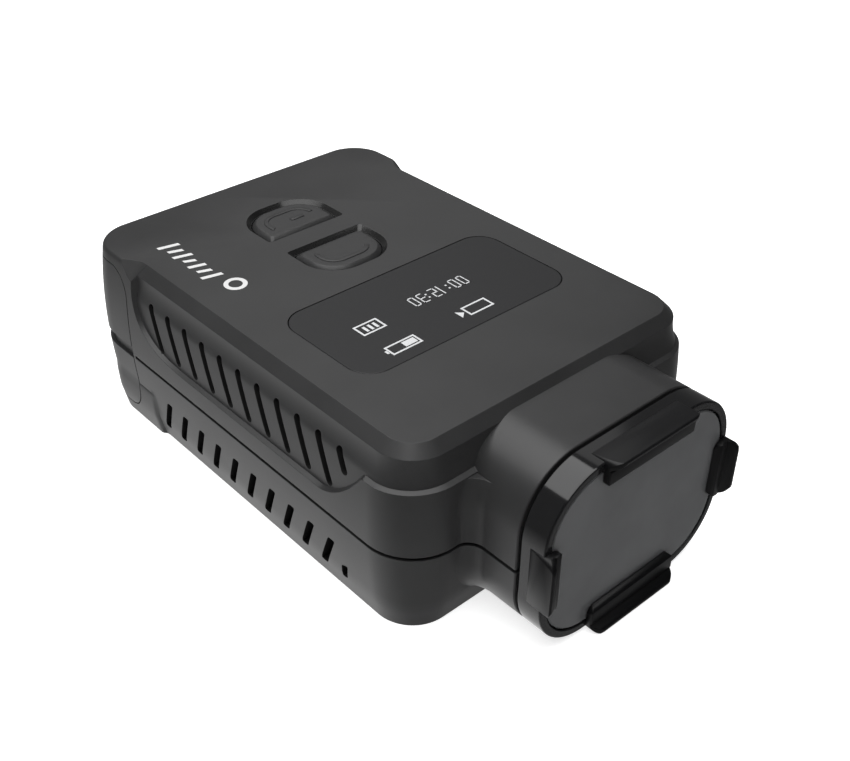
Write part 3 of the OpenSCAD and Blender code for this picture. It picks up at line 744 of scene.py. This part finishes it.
# which bars of a seven-bar figure each digit lights
SEGMENTS = {"0": "abcdef", "1": "bc", "2": "abged", "3": "abgcd", "4": "fgbc", "5": "afgcd", "6": "afgedc"}


DIGIT_W, DIGIT_H, BAR_W, BAR_GAP = 0.78, 1.7, 0.17, 0.02


def digit(name, value, x, y):
    m, top, right = y + DIGIT_H / 2, y + DIGIT_H, x + DIGIT_W
    bars = {"a": (x, top - BAR_W, right, top), "g": (x, m - BAR_W / 2, right, m + BAR_W / 2),
            "d": (x, y, right, y + BAR_W), "f": (x, m, x + BAR_W, top), "b": (right - BAR_W, m, right, top),
            "e": (x, y, x + BAR_W, m), "c": (right - BAR_W, y, right, m)}
    for s in SEGMENTS[value]:
        x0, y0, x1, y1 = bars[s]
        rectangle(f"{name}_{s}", x0 + BAR_GAP, y0 + BAR_GAP, x1 - BAR_GAP, y1 - BAR_GAP)


CLOCK_Y = -17.95
x = -5.3
for i, c in enumerate("00:12:30"):
    if c == ":":
        for k in (0.45, 1.05):
            rectangle(f"clock_{i}_{k * 100:.0f}", x + 0.12, CLOCK_Y + k, x + 0.32, CLOCK_Y + 0.2 + k)
        x += 0.5
    else:
        digit(f"clock_{i}", c, x, CLOCK_Y)
        x += 1.08


FRAME_W = 0.2


def frame_sign(name, x0, y0, x1, y1):
    rectangle(name + "_low", x0, y0, x1, y0 + FRAME_W)
    rectangle(name + "_high", x0, y1 - FRAME_W, x1, y1)
    rectangle(name + "_left", x0, y0 + FRAME_W, x0 + FRAME_W, y1 - FRAME_W)
    rectangle(name + "_right", x1 - FRAME_W, y0 + FRAME_W, x1, y1 - FRAME_W)


frame_sign("film", -4.1, -13.3, -1.0, -11.7)
sign("film_lens", [reader(-0.8, -12.5), reader(-0.1, -13.1), reader(-0.1, -11.9)])
frame_sign("card", 6.2, -17.4, 9.0, -15.6)
for i in range(3):
    rectangle(f"card_bar_{i}", 6.8 + 0.6 * i, -16.9, 7.1 + 0.6 * i, -16.0)
frame_sign("charge", 5.4, -12.9, 9.0, -11.4)
rectangle("charge_level", 5.75, -12.55, 7.2, -11.75)
rectangle("charge_tip", 9.05, -12.4, 9.3, -11.9)

# plain printed mark near the corner: slanted bars and a ring
MARK_X = -13.4
for i, h in enumerate((2.3, 1.5, 2.0, 1.2, 1.8, 1.4, 2.2)):
    y = TOP_FRONT + 42.6 - 1.35 * i
    line = [(MARK_X - h / 2, y + 0.25), (MARK_X + h / 2, y - 0.25),
            (MARK_X + h / 2, y - 0.75), (MARK_X - h / 2, y - 0.25)]
    sign(f"mark_bar_{i}", line, material=INK)
ring = [[(MARK_X + 0.9 + r * math.cos(t), TOP_FRONT + 31.4 + r * math.sin(t), z)
         for t in np.linspace(0, 2 * math.pi, 48, endpoint=False)]
        for r, z in ((1.2, SIGN_LOW), (1.2, SIGN_HIGH), (0.72, SIGN_HIGH), (0.72, SIGN_LOW))]
finish_piece(grid_solid("mark_ring", ring, capped=False), "mark_ring", "case", INK)


# ---------- lens protector ----------

def rings_y(name, stations, capped):
    """Solid of rounded squares, from how far each grows past the snout's outline and its y."""
    return grid_solid(name, [[(x, y, z) for x, z in snout_rect(g, 28)] for g, y in stations], capped)


bezel = rings_y("ring", [
    (-0.13, RING_BACK), (0.0, RING_BACK - 0.15), (0.0, RING_FRONT + 0.16), (-0.05, RING_FRONT + 0.05),
    (-0.16, RING_FRONT), (-0.74, RING_FRONT), (-0.8, RING_FRONT + 0.08), (-0.8, RING_FRONT + 0.9),
    (-2.2, RING_FRONT + 0.9), (-2.2, RING_BACK)], False)
finish_piece(bezel, "protector_ring", "protector", GLOSS, ["protector_frame"], 24)
plate = rings_y("plate", [(-0.92, RING_FRONT + 0.88), (-0.92, RING_FRONT + 0.16),
                          (-1.04, RING_FRONT + 0.05), (-1.3, RING_FRONT + 0.05)], True)
finish_piece(plate, "protector_plate", "protector", COATED, ["protector_glass"], 24)

LATCH_LONG, LATCH_SHORT = 11.4, 6.4
PAD_LONG, PAD_SHORT = 2.5, 1.8
LIP_D, LIP_OUT = 1.4, 0.4         # how far the lip stands forwards and outwards


def latch(length, pad, turn, reach):
    """One latch: a pad over the rim and the plate, a small crease across it, and a lip. It is made at
    the top of the protector and turned to its side."""
    # outwards and forwards, from the rim's outer face and the protector's front
    section = [(-pad, 0.02), (-pad + 0.2, 0.45), (-pad + 0.45, 0.62), (-0.75, 0.66), (-0.6, 0.5),
               (-0.45, 0.66), (-0.12, 1.25), (0.06, LIP_D - 0.03), (LIP_OUT - 0.1, LIP_D),
               (LIP_OUT, LIP_D - 0.14), (0.03, -1.6), (-0.7, -1.6), (-0.7, 0.02)]
    bar = prism_x("latch", [(RING_FRONT - f, reach + u) for u, f in section], -length / 2, length / 2)
    ends = prism_y("ends", round_rect(-length / 2, reach - pad, length / 2, reach + LIP_OUT, 0.9),
                   RING_FRONT - 4, RING_FRONT + 4)
    front = prism_z("front", round_rect(-length / 2, RING_FRONT - LIP_D, length / 2, RING_FRONT + 6, 1.3),
                    reach - 6, reach + 3)
    bar = combine(combine(bar, [ends], "INTERSECT"), [front], "INTERSECT")
    bar = bevelled(bar, 0.08, 2, 35)
    bar.data.transform(Matrix.Rotation(math.radians(turn), 4, "Y"))
    bar.data.transform(Matrix.Translation((0, 0, SNOUT_MID)))
    return bar


for name, turn, length, pad, reach in (
        ("latch_top", 0, LATCH_LONG, PAD_LONG, SNOUT_HALF_H),
        ("latch_bottom", 180, LATCH_LONG, PAD_LONG, SNOUT_HALF_H),
        ("latch_right", 90, LATCH_SHORT, PAD_SHORT, SNOUT_HALF_W),
        ("latch_left", 270, LATCH_SHORT, PAD_SHORT, SNOUT_HALF_W)):
    stands = ["protector_latches"] if name == "latch_top" else []
    finish_piece(latch(length, pad, turn, reach), name, "protector", LATCH, stands, 24)

# ---------- floor, light and camera ----------

floor_mat = shader("studio_floor", (0.9, 0.9, 0.9), 0.7, edge=0.0, mottle=0.005,
                   Emission_Color=(1, 1, 1, 1), Emission_Strength=0.75)
FLOOR_HALF, FLOOR_Z = 4.0, -0.00002         # metres
steps = np.linspace(-1, 1, 5)
bm = bmesh.new()
grid = [[bm.verts.new((x * FLOOR_HALF, y * FLOOR_HALF, FLOOR_Z)) for x in steps] for y in steps]
for i in range(len(steps) - 1):
    for j in range(len(steps) - 1):
        bm.faces.new((grid[i][j], grid[i][j + 1], grid[i + 1][j + 1], grid[i + 1][j]))
floor_mesh = bpy.data.meshes.new("studio_floor")
bm.to_mesh(floor_mesh)
bm.free()
floor = bpy.data.objects.new("studio_floor", floor_mesh)
floor_mesh.materials.append(floor_mat)
scene.collection.objects.link(floor)
floor.visible_glossy = False


def softbox(name, at, look, w, h, power):
    data = bpy.data.lights.new(name, "AREA")
    data.shape = "RECTANGLE"
    data.size, data.size_y = w, h
    data.energy = power
    obj = bpy.data.objects.new(name, data)
    scene.collection.objects.link(obj)
    obj.location = at
    obj.rotation_euler = (Vector(look) - Vector(at)).to_track_quat("-Z", "Y").to_euler()


# a wide soft light straight above, and a small one behind at the right
softbox("overhead", (-0.09, 0.05, 0.50), (-0.09, 0.05, 0), 0.62, 0.78, 4.2)
softbox("back_right", (0.36, 0.42, 0.42), (0, 0, 0.01), 0.30, 0.30, 0.15)

world = bpy.data.worlds.new("studio")
world.use_nodes = True
wn, wl = world.node_tree.nodes, world.node_tree.links
direction = wn.new("ShaderNodeTexCoord")
split = wn.new("ShaderNodeSeparateXYZ")
wl.new(direction.outputs["Generated"], split.inputs["Vector"])
wn["Background"].inputs["Color"].default_value = (1, 1, 1, 1)


def ramp(socket, start, stop, low, high):
    node = wn.new("ShaderNodeMapRange")
    node.inputs["From Min"].default_value, node.inputs["From Max"].default_value = start, stop
    node.inputs["To Min"].default_value, node.inputs["To Max"].default_value = low, high
    wl.new(socket, node.inputs["Value"])
    return node.outputs["Result"]


# the world is pale behind the object and low down, and dim in front and overhead
strength = wn.new("ShaderNodeMath")
strength.operation = "MULTIPLY"
wl.new(ramp(split.outputs["Y"], -0.2, 0.8, 0.2, 1.15), strength.inputs[0])
wl.new(ramp(split.outputs["Z"], -0.8, -0.25, 1.25, 0.16), strength.inputs[1])
wl.new(strength.outputs["Value"], wn["Background"].inputs["Strength"])
scene.world = world
scene.view_settings.view_transform = "Standard"

# the photograph's view, as a turn round the target and a distance from it
AZIMUTH, ELEVATION, ROLL = -41.704, 35.366, 0.179
TARGET = Vector((-10.556, -12.381, HEIGHT)) * MM
DISTANCE = 103.217 * MM
camera_data = bpy.data.cameras.new("camera")
camera_data.lens, camera_data.sensor_width = 49.97, 36
camera_data.shift_x, camera_data.shift_y = 0.01295, 0.0035
camera_data.clip_start = 0.005
camera = bpy.data.objects.new("camera", camera_data)
a, e, roll = (math.radians(v) for v in (AZIMUTH, ELEVATION, ROLL))
back = Vector((math.sin(a) * math.cos(e), -math.cos(a) * math.cos(e), math.sin(e)))
camera.rotation_mode = "QUATERNION"
camera.location = TARGET + back * DISTANCE
right = Vector((math.cos(a), math.sin(a), 0))
up = back.cross(right)
right, up = right * math.cos(roll) + up * math.sin(roll), up * math.cos(roll) - right * math.sin(roll)
camera.rotation_quaternion = Matrix((right, up, back)).transposed().to_quaternion()
scene.collection.objects.link(camera)
scene.camera = camera
